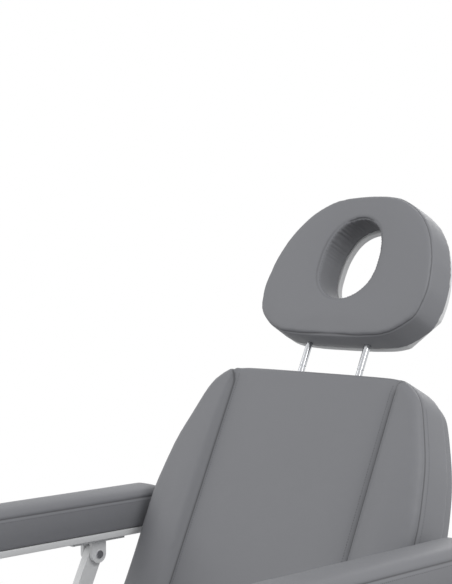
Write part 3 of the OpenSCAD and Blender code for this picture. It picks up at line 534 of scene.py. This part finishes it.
def sewn_line(bm, line, low_z, depth, width):
    """Draws a seam in along a line across the cover's face, as sewn() does along a plane."""
    way_at = outwards(bm)
    near = {}
    for face in bm.faces:
        at = face.calc_center_median()
        if at.z > low_z and face.normal.z > 0.1:
            away, k = from_line(line, at)
            if away < width * 2.5:
                near.setdefault(k, []).append(face)
    for k, faces in near.items():
        one, along = Vector(line[k] + (0,)), Vector(line[k + 1] + (0,)) - Vector(line[k] + (0,))
        normal = Vector((along.y, -along.x, 0)).normalized()
        for step in seam_cuts:
            faces = [f for f in faces if f.is_valid]
            parts = {p for f in faces for p in (*f.verts, *f.edges, f)}
            cut = bmesh.ops.bisect_plane(bm, geom=list(parts), plane_co=one + normal * width * step,
                                         plane_no=normal, dist=1e-6)
            faces = [f for f in cut["geom"] if isinstance(f, bmesh.types.BMFace)]
    beside = [v for v in bm.verts if v.co.z > low_z and from_line(line, v.co)[0] < 1.2 * width]
    bmesh.ops.remove_doubles(bm, verts=beside, dist=seam_melt)
    mark = painted_shade_mark(bm)
    for v in bm.verts:
        away = from_line(line, v.co)[0] if v.co.z > low_z else 1
        if away < 3 * width:
            out = way_at(v.co)
            share = min(1.0, max(0.0, (out.z - 0.05) / 0.2))
            pulled_in(v, mark, out, share, away, depth, width)
    bm.normal_update()


def finished(made, name, plan, body, node):
    """Names a cover, puts it in its place, gives it the coated cloth and hides the CAD solid it stands for.
    """
    made.name = made.data.name = name
    made.data.transform(plan)
    made.data.materials.clear()
    made.data.materials.append(hide)
    for face in made.data.polygons:
        face.use_smooth = True
    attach(made, body)
    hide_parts(node)


def thread():
    """Bonded thread with its twist, a shade darker than the cover as painted shade of the stitch holes it
    sinks into.
    """
    made = Finish("seam_thread", IOR=1.5)
    twist = made.noise(2600, 1, (1, 1, 0.4))
    # Painted shade: both thread colours are set darker than the cover's, for the shade in the sunken stitch
    # holes; the twist is the thread's own.
    made.give("Base Color", made.mix(twist, srgb(92, 93, 97), srgb(122, 123, 127)))
    made.give("Roughness", twist * 0.2 + 0.5)
    made.bump(twist, 0.0001)
    return made.material


thread_look = thread()
stitch_pitch, stitch_sunk = 0.0045, 0.0001
stitch_half = (0.0007, 0.0017, 0.0006, 1)


def stitched(bm, name, plan, body, rows):
    """Stitches of thread, half sunk in a cover. A row is a path and the needle's way at each point."""
    skin = BVHTree.FromBMesh(bm)
    threads = bmesh.new()
    for path, ways in rows:
        path = [Vector(p) for p in path]
        spare = 0.0
        for one, two, way_one, way_two in zip(path, path[1:], ways, ways[1:]):
            length = (two - one).length
            while spare < length:
                share = spare / length
                way = Vector(way_one).lerp(Vector(way_two), share).normalized()
                hit, normal, _, _ = skin.ray_cast(one.lerp(two, share), way)
                spare += stitch_pitch
                if hit is None or normal.dot(way) > -0.2:
                    continue
                along = (two - one) - normal * (two - one).dot(normal)
                along.normalize()
                turn = Matrix((along.cross(normal), along, normal)).transposed().to_4x4()
                place = Matrix.Translation(hit - normal * stitch_sunk) @ turn
                bmesh.ops.create_uvsphere(threads, u_segments=6, v_segments=4, radius=1.0,
                                          matrix=place @ Matrix.Diagonal(stitch_half))
            spare -= length
    threads.transform(plan)
    made = mesh_object(name, threads, thread_look)
    for face in made.data.polygons:
        face.use_smooth = True
    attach(made, body)


def ring_row(middle, wide, long, z):
    """Path round the inside of a hole at a height, with the needle going straight into its wall."""
    turns = np.linspace(0, 2 * pi, 91)
    ways = [(cos(turn), sin(turn), 0) for turn in turns]
    return [(middle[0] + wide * x, middle[1] + long * y, z) for x, y, _ in ways], ways


def turned_away(at, way):
    """Share of a seam round a cushion's rim: all of it where the surface turns away from the face."""
    return min(1.0, max(0.0, (0.95 - way.z) / 0.12))


def bored(made, cutter):
    """Cuts a closed shape out of a cover: the pocket that a post or its guide sits in."""
    tool = mesh_object("bore", cutter)
    cut = made.modifiers.new("bore", "BOOLEAN")
    cut.operation, cut.object, cut.solver = "DIFFERENCE", tool, "MANIFOLD"
    settled(made)
    bpy.data.objects.remove(tool)


def pocket(low, high):
    """A block between two corners, as a cutter."""
    low, high = Vector(low), Vector(high)
    bm = bmesh.new()
    size = Matrix.Diagonal((*(high - low), 1))
    bmesh.ops.create_cube(bm, size=1.0, matrix=Matrix.Translation((low + high) / 2) @ size)
    return bm


def post_hole(x, start, end):
    """A round hole along the cushion for a head post, as a cutter."""
    bm = bmesh.new()
    radius = post_r + post_fit
    place = Matrix.Translation((x, (start + end) / 2, post_z)) @ Matrix.Rotation(radians(90), 4, "X")
    bmesh.ops.create_cone(bm, cap_ends=True, segments=24, radius1=radius, radius2=radius, depth=end - start,
                          matrix=place)
    return bm


def gathered(mesh, middle, low_z, high_z):
    """Small folds down the sleeve of the face hole, deepest at its upper end under the seam."""
    at = points_of(mesh)
    normal = np.empty(at.size, np.float32)
    mesh.vertices.foreach_get("normal", normal)
    normal = normal.reshape(-1, 3)
    across, up = at[:, 0] - middle[0], at[:, 1] - middle[1]
    turn = np.arctan2(up, across)
    beside = np.hypot(across / hole_wide, up / hole_long) < 1.15
    sleeve = beside * np.clip(1.1 - abs(normal[:, 2]) / 0.8, 0, 1)
    end = np.clip((np.sin(turn) + 0.1) / 0.6, 0, 1)
    deep = np.clip((at[:, 2] - low_z) / (high_z - low_z), 0, 1) ** 0.6
    deep *= np.clip((high_z - 0.003 - at[:, 2]) / 0.006, 0, 1)
    fold = np.sin(turn * 56 + 1.6 * np.sin(turn * 9)) * (0.6 + 0.4 * np.sin(turn * 17 + 1))
    put_points(mesh, at + normal * (fold_deep * sleeve * end * deep * fold)[:, None])


head_low, head_high = reach_of(solid_of("headrest_cushion", back_frame))
head_form = outline_of("headrest_cushion", back_frame, head_high[2] - 0.020)
head_mid = Vector(((head_low[0] + head_high[0]) / 2, (head_low[1] + head_high[1]) / 2, 0))
hole_up, hole_wide, hole_long, fold_deep = 0.012, 0.061, 0.080, 0.0011
hole_mid = head_mid + Vector((0, hole_up, 0))
inner_wide, inner_long, corner_rounds = 0.075, 0.105, 16
for _ in range(corner_rounds):
    bmesh.ops.smooth_vert(head_form, verts=head_form.verts, factor=0.5, use_axis_x=True, use_axis_y=True)
swell, proud, crown = 0.003, 0.002, 0.004
for v in head_form.verts:
    way = v.co - head_mid
    way.z = 0
    if abs(way.x) > inner_wide or abs(way.y) > inner_long:
        v.co -= way.normalized() * swell
slab(head_form, head_low[2], head_high[2] - crown, round_r=0.0045)
head_cover = stuffed(head_form, voxel=0.004, cap=0.006, held=lambda at: at[:, 2] < head_low[2] + 0.006)
fitted(head_cover, head_low, head_high, proud)
gathered(head_cover.data, hole_mid, head_low[2], head_high[2] - crown)
post_low, post_high = reach_of(solid_of("headrest_posts", back_frame))
sock_low, sock_high = reach_of(solid_of("headrest_sockets", back_frame))
post_z, post_r, post_fit, pocket_fit = (post_low[2] + post_high[2]) / 2, 0.006, 0.0006, 0.0003
post_x = post_high[0] - post_r
sock_half = sock_high[0] - post_x
bore_past, pocket_past = 0.02, 0.01
for side in (-1, 1):
    bored(head_cover, post_hole(side * post_x, head_low[1] - bore_past, sock_low[1] + 0.004))
    low = (side * post_x - sock_half - pocket_fit, sock_low[1] - pocket_fit, head_low[2] - pocket_past)
    high = (side * post_x + sock_half + pocket_fit, sock_high[1] + pocket_fit, sock_high[2] + pocket_fit)
    bored(head_cover, pocket(low, high))
head_bm = bmesh.new()
head_bm.from_mesh(head_cover.data)
rim_z = head_high[2] - 0.0095
ring_z = head_high[2] - 0.005
sewn(head_bm, (0, 0, rim_z), (0, 0, 1),
     lambda at, way: turned_away(at, way) * ((at - head_mid).length > inner_long),
     depth=0.0018, width=0.0024)
sewn(head_bm, (0, 0, ring_z), (0, 0, 1),
     lambda at, way: turned_away(at, way) * (abs(at.x) < inner_wide) * (abs(at.y - head_mid.y) < inner_long),
     depth=0.0012, width=0.0020)
# Painted shade: the sleeve's wall is given a darker colour, more towards the hole's upper end, where its
# folds lie in their own shadow. The cloth itself is no darker.
mark = painted_shade_mark(head_bm)
shadow, shadow_above = 0.34, 0.50
for v in head_bm.verts:
    across, up = v.co.x / hole_wide, (v.co.y - hole_mid.y) / hole_long
    if across * across + up * up < 1.2 and v.co.z < ring_z:
        wall = 1 - min(1.0, abs(v.normal.z) / 0.5)
        v[mark] = max(v[mark], wall * (shadow + shadow_above * max(0.0, up)))
sleeve_row = ring_row(hole_mid, wide=0.050, long=0.068, z=ring_z - 0.0035)
stitched(head_bm, "headrest_stitches", back_frame, "headrest", [sleeve_row])
head_bm.to_mesh(head_cover.data)
head_bm.free()
finished(head_cover, "headrest_cover", back_frame, "headrest", "headrest_cushion")


# Headrest board: painted plywood 12 mm thick, screwed down under the cushion on the sockets of the posts. Its
# edges are rounded over, and both lower corners are sawn off.
def trimmed(bm, cuts):
    """Saws an outline along upright planes and leaves its new rim."""
    bmesh.ops.triangle_fill(bm, use_beauty=True, edges=bm.edges)
    for at, away in cuts:
        bmesh.ops.bisect_plane(bm, geom=parts_of(bm), plane_co=at, plane_no=away, clear_outer=True)
    bmesh.ops.delete(bm, geom=[e for e in bm.edges if len(e.link_faces) > 1], context="EDGES_FACES")
    return bm


board_edge = 0.0015


def board(name, node, plan, body, cuts=()):
    """A plywood board in place of its CAD solid, with its edges rounded over."""
    low, high = reach_of(solid_of(node, plan))
    bm = slab(trimmed(outline_of(node, plan, (low[2] + high[2]) / 2), cuts), low[2], high[2], board_edge)
    under = [e for e in bm.edges if all(v.co.z < low[2] + 1e-5 for v in e.verts) and e.calc_face_angle(0) > 1]
    bmesh.ops.bevel(bm, geom=under, affect="EDGES", offset=board_edge, segments=3, profile=0.5, material=-1)
    bmesh.ops.transform(bm, matrix=plan, verts=bm.verts)
    made = mesh_object(name, bm, slot_finish["board_white"])
    for face in made.data.polygons:
        face.use_smooth = len(face.vertices) < 6
    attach(made, body)
    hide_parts(node)


sawn_x, sawn_w = 0.1590, 0.6944
sawn_away = (0.731, -0.682)
corners = [((side * sawn_x, sawn_w, 0), (side * sawn_away[0], sawn_away[1], 0)) for side in (-1, 1)]
board("headrest_board_painted", "headrest_board", back_frame, "headrest", corners)


# Backrest cushion: a flat middle panel between two raised side bolsters, sewn to them along seams that turn
# out to the corners at the top, with a band round the sides. One row of stitches runs beside each seam.
seam_x, seam_gap, row_off, row_end = 0.184, 0.001, 0.0075, 0.02
needle_high, needle_down = 0.12, (0, 0, -1)


def bolstered(node, plan, cut_z, middle_z, wing_z, base_z):
    """Foam form of a bolstered cushion: a base, a middle pad and two side pads, each with rounded edges.

    A pad runs from one place across to another, and -1 and 1 lie past the cushion's own sides."""
    low, high = reach_of(solid_of(node, plan))
    parts = []
    for x0, x1, top, round_r in ((-1, 1, base_z, 0.012),
                                 (-seam_x + seam_gap, seam_x - seam_gap, middle_z, 0.010),
                                 (-1, -seam_x - seam_gap, wing_z, 0.011),
                                 (seam_x + seam_gap, 1, wing_z, 0.011)):
        bm = drawn_in(outline_of(node, plan, cut_z), low, high, swell)
        cuts = [((x, 0, 0), (way, 0, 0)) for x, way in ((x0, -1), (x1, 1)) if abs(x) < 1]
        parts.append(slab(trimmed(bm, cuts), low[2], top, round_r))
    return joined(*parts), low, high


def seam_held(low):
    """Where a bolstered cover is held: along its board and along its two inner seams."""
    return lambda at: ((at[:, 2] < low[2] + 0.008)
                       | ((abs(abs(at[:, 0]) - seam_x) < 0.004) & (at[:, 2] > 0.03)))


back_form, back_low, back_high = bolstered("backrest_cushion", back_frame, cut_z=0.042, middle_z=0.057,
                                           wing_z=0.066, base_z=0.052)
back_cover = stuffed(back_form, voxel=0.006, cap=0.012, held=seam_held(back_low))
fitted(back_cover, back_low, back_high, proud)
guide_low, guide_high = reach_of(solid_of("headrest_guides", back_frame))
for side in (-1, 1):
    wide = guide_high[0] - post_x + pocket_fit
    low = (side * post_x - wide, guide_low[1] - pocket_fit, back_low[2] - pocket_past)
    high = (side * post_x + wide, guide_high[1] + pocket_fit, guide_high[2] + pocket_fit)
    bored(back_cover, pocket(low, high))
    bored(back_cover, post_hole(side * post_x, guide_high[1] - 0.002, back_high[1] + bore_past))
back_bm = bmesh.new()
back_bm.from_mesh(back_cover.data)
top_w = back_high[1]
panel_seam, rim_seam = {"low_z": 0.02, "depth": 0.0022, "width": 0.003}, {"depth": 0.002, "width": 0.003}
for side in (-1, 1):
    line = [(side * x, w) for x, w in ((seam_x, back_low[1] - 0.01), (seam_x, top_w - 0.034),
                                       (seam_x + 0.003, top_w - 0.018), (seam_x + 0.010, top_w - 0.007),
                                       (seam_x + 0.024, top_w + 0.002))]
    sewn_line(back_bm, line, **panel_seam)
band_z = 0.048
sewn(back_bm, (0, 0, band_z), (0, 0, 1),
     lambda at, way: turned_away(at, way) * min(1.0, max(0.0, (abs(at.x) - seam_x - 0.012) / 0.008)),
     **rim_seam)
back_rows = []
for side in (-1, 1):
    x = side * (seam_x - row_off)
    path = [(x, back_low[1] + row_end, needle_high), (x, top_w - 0.03, needle_high),
            (x + side * 0.002, top_w - 0.016, needle_high)]
    back_rows.append((path, [needle_down] * 3))
    along = np.linspace(back_low[1] + 0.03, top_w - row_end, 40)
    path = [(side * (back_high[0] + 0.05), w, band_z - 0.008) for w in along]
    back_rows.append((path, [(-side, -0.25 if p[1] > 0.5 else 0, 0) for p in path]))
stitched(back_bm, "backrest_stitches", back_frame, "backrest", back_rows)
back_bm.to_mesh(back_cover.data)
back_bm.free()
finished(back_cover, "backrest_cover", back_frame, "backrest", "backrest_cushion")
board("backrest_board_painted", "backrest_board", back_frame, "backrest")


# Backrest hem: the cover is drawn round the edge of its board and stapled down behind it, in a strip 15 mm
# wide. It is the same coated cloth, a little over a millimetre thick.
hem_low, hem_high = reach_of(solid_of("backrest_board", back_frame))
hem_thick, hem_strip, hem_tuck, hem_round, hem_sunk = 0.0012, 0.015, 0.007, 0.001, 0.0001
hem = outline_of("backrest_board", back_frame, (hem_low[2] + hem_high[2]) / 2)
drawn_in(hem, hem_low, hem_high, -hem_thick)
slab(hem, hem_low[2] - hem_thick, hem_high[2] + hem_tuck, hem_round)
rear = [f for f in hem.faces if f.normal.z < -0.9]
for thick in (hem_round, hem_strip):
    bmesh.ops.inset_region(hem, faces=rear, thickness=thick, depth=0)
for v in {v for f in rear for v in f.verts}:
    v.co.z = hem_low[2] + hem_sunk
fold = [e for e in hem.edges
        if e.calc_face_angle(0) > 1 and all(v.co.z < hem_low[2] - 0.001 for v in e.verts)]
bmesh.ops.bevel(hem, geom=fold, affect="EDGES", offset=0.0009, segments=3, profile=0.5, material=-1)
hem.transform(back_frame)
backrest_hem = mesh_object("backrest_hem", hem, hide)
for face in backrest_hem.data.polygons:
    face.use_smooth = len(face.vertices) < 6
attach(backrest_hem, "backrest")


# Seat cushion: foam under coated cloth on its board, sewn like the backrest's, with lower bolsters and a band
# all round. Its board is painted plywood.
seat_frame = Matrix.Translation((0, 0, recline_axis[2]))
seat_form, seat_low, seat_high = bolstered("seat_cushion", seat_frame, cut_z=0.030, middle_z=0.057,
                                           wing_z=0.061, base_z=0.046)
seat_cover = stuffed(seat_form, voxel=0.006, cap=0.012, held=seam_held(seat_low))
fitted(seat_cover, seat_low, seat_high)
seat_bm = bmesh.new()
seat_bm.from_mesh(seat_cover.data)
seat_rows = []
for side in (-1, 1):
    ends = (seat_low[1] - 0.01, seat_high[1] + 0.01)
    sewn_line(seat_bm, [(side * seam_x, w) for w in ends], **panel_seam)
    x = side * (seam_x - row_off)
    path = [(x, seat_low[1] + row_end, needle_high), (x, seat_high[1] - row_end, needle_high)]
    seat_rows.append((path, [needle_down] * 2))
seat_band_z = band_z - 0.004
sewn(seat_bm, (0, 0, seat_band_z), (0, 0, 1), turned_away, **rim_seam)
stitched(seat_bm, "seat_stitches", seat_frame, "seat", seat_rows)
seat_bm.to_mesh(seat_cover.data)
seat_bm.free()
finished(seat_cover, "seat_cover", seat_frame, "seat", "seat_cushion")
board("seat_board_painted", "seat_board", seat_frame, "seat")


# Leg rest and armrest cushions: plain pads, each on its own board, with a band sewn round the edge and a row
# of stitches under the seam on both long sides. The right ones are sewn from the left ones' pattern.
leg_x, leg_turn = 0.1425, radians(35)
leg_axis = (-0.24787, 0.525)
arm_x = 0.358


def plain_pad(node, plan, round_r, cap, seam_drop):
    """A pad without panels, in its own frame: its stuffed cover, its sewn mesh and its rows of stitches."""
    low, high = reach_of(solid_of(node, plan))
    mid = (low + high) / 2
    bm = drawn_in(outline_of(node, plan, high[2] - 0.030), low, high, swell)
    slab(bm, low[2], high[2] - crown, round_r)
    made = stuffed(bm, voxel=0.005, cap=cap, held=lambda at: at[:, 2] < low[2] + 0.006)
    fitted(made, low, high)
    whole = bmesh.new()
    whole.from_mesh(made.data)
    seam_z = high[2] - seam_drop
    sewn(whole, (0, 0, seam_z), (0, 0, 1), turned_away, depth=0.0016, width=0.0026)
    rows = []
    for side in (-1, 1):
        ends = (low[1] + row_end, high[1] - row_end)
        path = [(mid[0] + side * (high[0] - mid[0] + 0.03), w, seam_z - 0.006) for w in ends]
        rows.append((path, [(-side, 0, 0)] * 2))
    return made, whole, rows


def pair_of_pads(part, left_plan, right_plan, body, round_r, cap, seam_drop):
    """The left and the right pad of a pair, cut and sewn from one pattern."""
    made, whole, rows = plain_pad(part + "_left", left_plan, round_r, cap, seam_drop)
    for side, plan in (("left", left_plan), ("right", right_plan)):
        cover = mesh_object(part + "_cover", whole.copy())
        finished(cover, f"{part}_cover_{side}", plan, f"{body}_{side}", f"{part}_{side}")
        stitched(whole, f"{part}_stitches_{side}", plan, f"{body}_{side}", rows)
    whole.free()
    bpy.data.objects.remove(made)


leg_plans = [Matrix.Translation((side * leg_x, *leg_axis)) @ Matrix.Rotation(leg_turn, 4, "X")
             for side in (1, -1)]
pair_of_pads("leg_cushion", *leg_plans, "leg_rest", round_r=0.012, cap=0.010, seam_drop=0.016)
arm_plans = [Matrix.Translation((side * arm_x, 0, 0)) for side in (1, -1)]
pair_of_pads("armrest_pad", *arm_plans, "armrest", round_r=0.014, cap=0.008, seam_drop=0.018)
for side, leg_plan, arm_plan in zip(("left", "right"), leg_plans, arm_plans):
    board(f"leg_board_painted_{side}", f"leg_board_{side}", leg_plan, f"leg_rest_{side}")
    board(f"armrest_board_painted_{side}", f"armrest_board_{side}", arm_plan, f"armrest_{side}")


# Screws: pan-head screws with a socket for the key. They are driven from behind or below, and hold the boards
# to the rails, slides and brackets, and the guides and sockets of the head posts to their boards.
def screwed(name, node, plan, body, places, radius=0.0045, high=0.0028):
    """Screw heads on the back of a solid at places across and along a cushion's plan."""
    solid = solid_of(node, plan)
    skin = BVHTree.FromBMesh(solid)
    solid.free()
    heads = bmesh.new()
    for x, w in places:
        hit, normal, _, _ = skin.ray_cast(Vector((x, w, -0.3)), Vector((0, 0, 1)))
        head = bmesh.new()
        turn = normal.to_track_quat("Z", "Y").to_matrix().to_4x4()
        bmesh.ops.create_cone(head, cap_ends=True, segments=18, radius1=radius, radius2=radius, depth=high,
                              matrix=Matrix.Translation((0, 0, high / 2 - 0.0002)))
        rim = [e for e in head.edges if all(v.co.z > high / 2 for v in e.verts)]
        bmesh.ops.bevel(head, geom=rim, affect="EDGES", offset=high * 0.4, segments=2, profile=0.5,
                        material=-1)
        top = max(head.faces, key=lambda f: f.calc_center_median().z)
        bmesh.ops.inset_region(head, faces=[top], thickness=radius * 0.3)
        bmesh.ops.inset_region(head, faces=[top], thickness=0.0001, depth=-high * 0.55)
        head.transform(Matrix.Translation(hit) @ turn)
        heads = joined(heads, head)
    heads.transform(plan)
    made = mesh_object(name, heads, slot_finish["bright_steel"])
    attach(made, body)


def both_sides(x, *ways):
    """Places at equal distances left and right of the middle."""
    return [(side * x, w) for side in (-1, 1) for w in ways]


screwed("backrest_rail_screws", "backrest_rails", back_frame, "backrest",
        both_sides(0.189, 0.09, 0.26, 0.435))
screwed("guide_screws", "backrest_board", back_frame, "backrest", both_sides(post_x, 0.385, 0.56))
screwed("socket_screws", "headrest_board", back_frame, "headrest", both_sides(post_x, 0.682, 0.705))
screwed("seat_rail_screws", "seat_rails", seat_frame, "seat", both_sides(0.2, -0.16, -0.02, 0.07))
for side, leg_plan, arm_plan in zip(("left", "right"), leg_plans, arm_plans):
    screwed(f"leg_slide_screws_{side}", f"leg_slide_{side}", leg_plan, f"leg_rest_{side}",
            both_sides(0.035, -0.438, -0.412))
    screwed(f"armrest_screws_{side}", f"armrest_board_{side}", arm_plan, f"armrest_{side}",
            [(0, 0.02), (0, 0.36)])


# Motor and box screws: each gear housing is two halves of moulded plastic, held by screws beside the tube,
# and the lid of the control box has a screw in each corner.
small_radius, small_high = 0.0035, 0.0025


def along_axis(start, end):
    """Frame at a pivot: Z towards the other pivot, X across the chair."""
    out = (Vector((0, *end)) - Vector((0, *start))).normalized()
    across = Vector((1, 0, 0))
    return Matrix.Translation((0, *start)) @ Matrix((across, out.cross(across), out)).transposed().to_4x4()


for part, low_pin, high_pin in (("lift", (-0.0336, 0.1063), (-0.1156, 0.3199)),
                                ("recline", (0.2344, 0.3109), (0.4340, 0.6702))):
    for end, plan in (("low", along_axis(low_pin, high_pin)), ("high", along_axis(high_pin, low_pin))):
        screwed(f"{part}_motor_screws_{end}", f"{part}_motor", plan, f"{part}_motor_body",
                [(0.026, 0.020), (0.026, -0.020)], small_radius, small_high)
lid_plan = Matrix.Rotation(radians(180), 4, "X")
screwed("control_box_screws", "control_box", lid_plan, "base", both_sides(0.088, -0.333, -0.417),
        small_radius, small_high)
